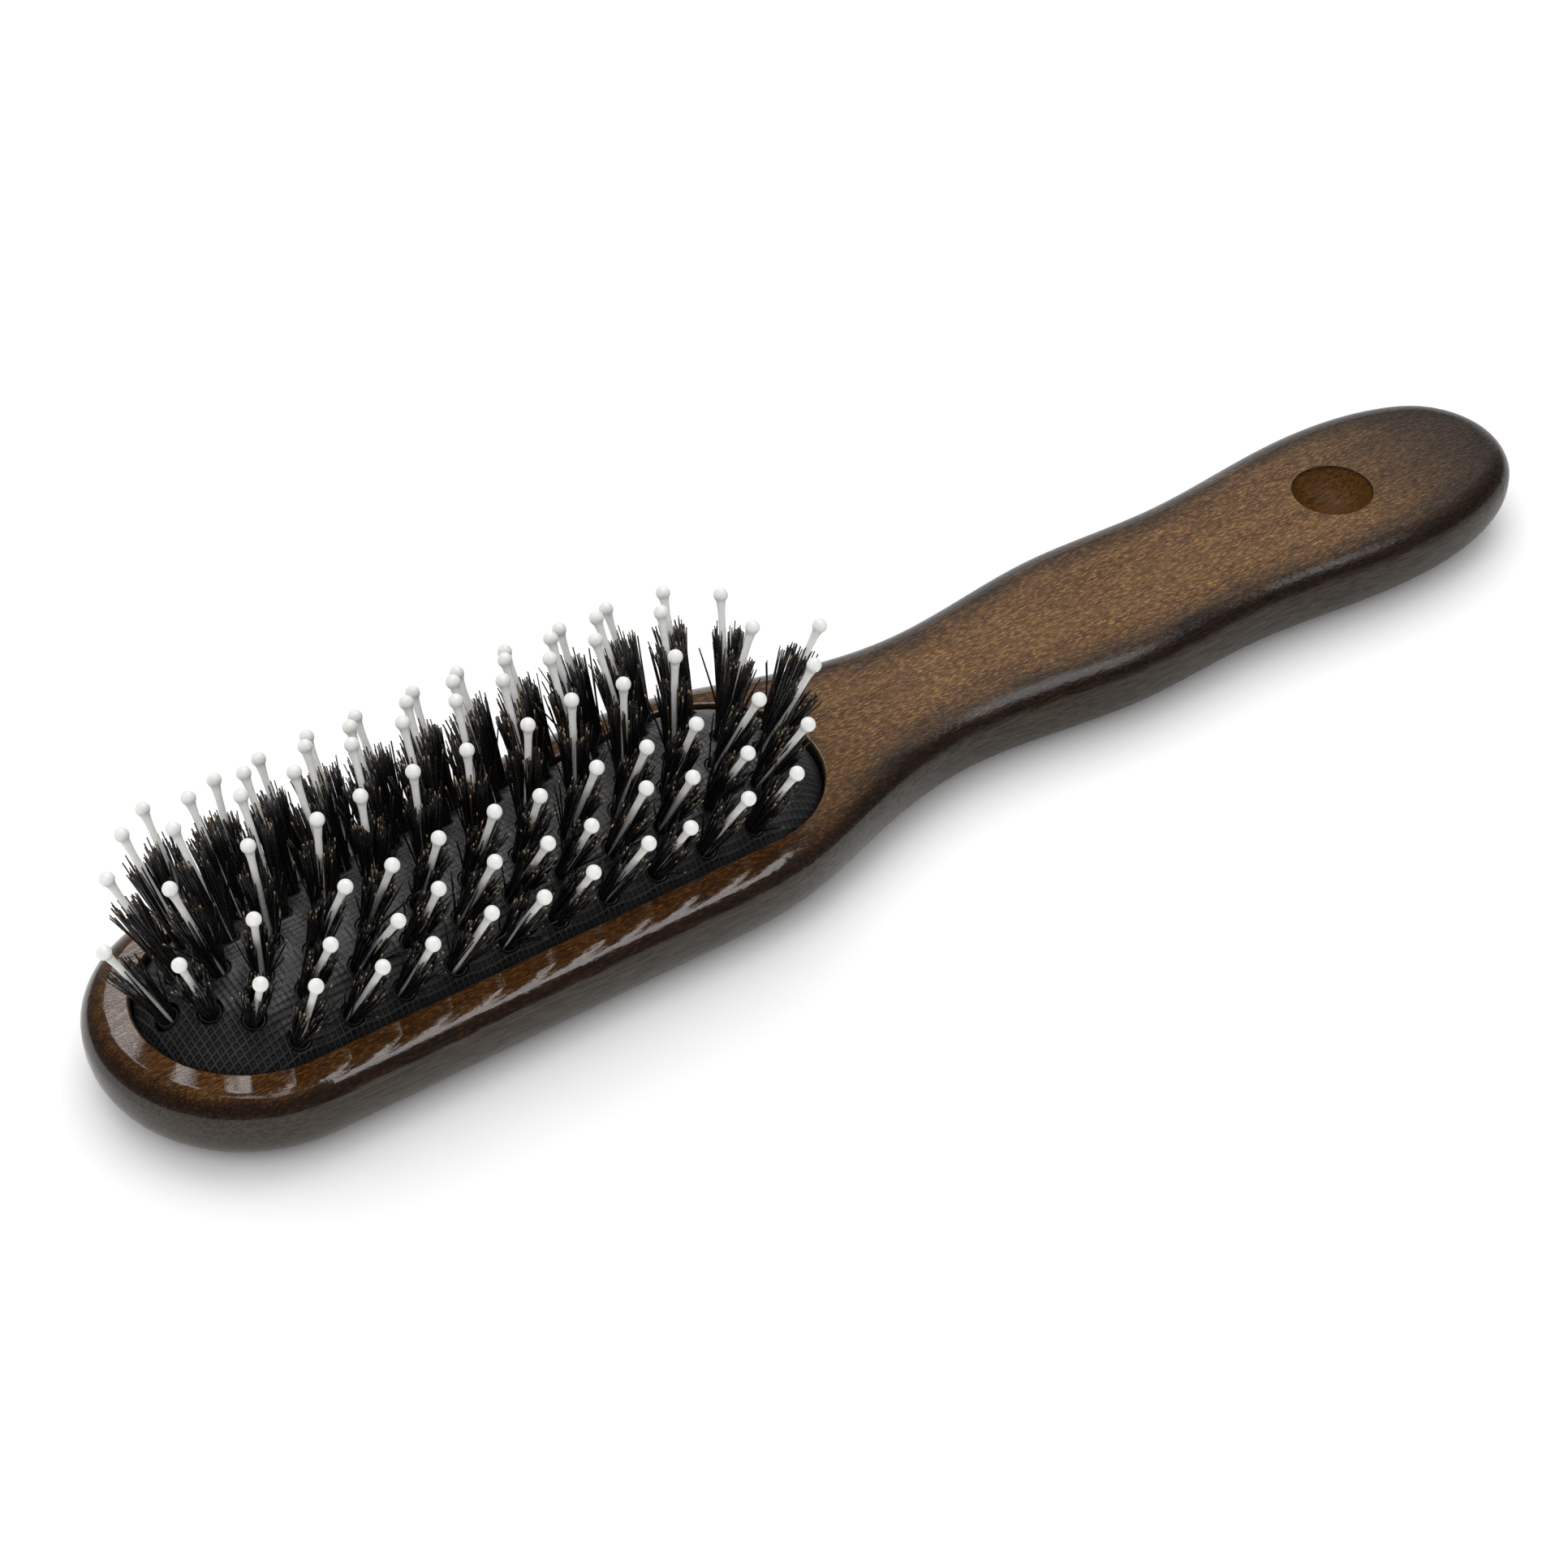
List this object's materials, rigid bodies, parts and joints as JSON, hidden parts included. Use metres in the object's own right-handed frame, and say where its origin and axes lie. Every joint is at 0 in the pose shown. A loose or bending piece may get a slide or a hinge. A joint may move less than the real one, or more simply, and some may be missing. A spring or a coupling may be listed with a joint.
{
  "type": "cushion hairbrush",
  "caption": "Cushion hairbrush with a glossy stained wooden back and handle, a domed rubber cushion, and tufts of bristle each around a ball-tipped nylon pin.",
  "frame": {"origin": "on the flat back, under the middle of the brush's length and width, on the surface that the brush lies on", "axes": "+X from the head to the end of the handle, +Z out of the bristle field, +Y across the brush"},
  "size_m": [0.225, 0.0434, 0.0349],
  "materials": {
    "wood": "dark walnut stain under a gloss lacquer",
    "black_rubber": "satin, fine waffle texture",
    "pin_nylon": "moulded white nylon, satin gloss ball tips",
    "bristle": "stiff natural bristle, slightly shiny",
    "socket_plastic": "moulded",
    "hoop_plastic": "moulded",
    "felt": "pressed felt"
  },
  "bodies": {
    "root": {"wooden_body": "wood", "retaining_hoop": "hoop_plastic", "chamber_liner": "felt"},
    "cushion": {"cushion": "black_rubber"},
    "column_1": {"pins_column_1": "pin_nylon", "tufts_column_1": "bristle", "sockets_column_1": "socket_plastic"},
    "column_2": {"pins_column_2": "pin_nylon", "tufts_column_2": "bristle", "sockets_column_2": "socket_plastic"},
    "column_3": {"pins_column_3": "pin_nylon", "tufts_column_3": "bristle", "sockets_column_3": "socket_plastic"},
    "column_4": {"pins_column_4": "pin_nylon", "tufts_column_4": "bristle", "sockets_column_4": "socket_plastic"},
    "column_5": {"pins_column_5": "pin_nylon", "tufts_column_5": "bristle", "sockets_column_5": "socket_plastic"},
    "column_6": {"pins_column_6": "pin_nylon", "tufts_column_6": "bristle", "sockets_column_6": "socket_plastic"},
    "column_7": {"pins_column_7": "pin_nylon", "tufts_column_7": "bristle", "sockets_column_7": "socket_plastic"}
  },
  "joints": [
    {"name": "cushion_press", "type": "slide", "parent": "root", "child": "cushion", "axis": [0, 0, 1], "range_m": [-0.0015, 0], "stiffness_N_per_m": 6000, "deforming": ["cushion"]},
    {"name": "column_1_sway", "type": "hinge", "parent": "cushion", "child": "column_1", "pos_m": [-0.0572, -0.0123, 0.01292], "axis": [1, 0, 0], "range_deg": [-5, 5], "stiffness_Nm_per_rad": 0.05},
    {"name": "column_2_sway", "type": "hinge", "parent": "cushion", "child": "column_2", "pos_m": [-0.0572, -0.0082, 0.01568], "axis": [1, 0, 0], "range_deg": [-5, 5], "stiffness_Nm_per_rad": 0.05},
    {"name": "column_3_sway", "type": "hinge", "parent": "cushion", "child": "column_3", "pos_m": [-0.0572, -0.0041, 0.01714], "axis": [1, 0, 0], "range_deg": [-5, 5], "stiffness_Nm_per_rad": 0.05},
    {"name": "column_4_sway", "type": "hinge", "parent": "cushion", "child": "column_4", "pos_m": [-0.0572, 0, 0.0176], "axis": [1, 0, 0], "range_deg": [-5, 5], "stiffness_Nm_per_rad": 0.05},
    {"name": "column_5_sway", "type": "hinge", "parent": "cushion", "child": "column_5", "pos_m": [-0.0572, 0.0041, 0.01714], "axis": [1, 0, 0], "range_deg": [-5, 5], "stiffness_Nm_per_rad": 0.05},
    {"name": "column_6_sway", "type": "hinge", "parent": "cushion", "child": "column_6", "pos_m": [-0.0572, 0.0082, 0.01568], "axis": [1, 0, 0], "range_deg": [-5, 5], "stiffness_Nm_per_rad": 0.05},
    {"name": "column_7_sway", "type": "hinge", "parent": "cushion", "child": "column_7", "pos_m": [-0.0572, 0.0123, 0.01292], "axis": [1, 0, 0], "range_deg": [-5, 5], "stiffness_Nm_per_rad": 0.05}
  ]
}
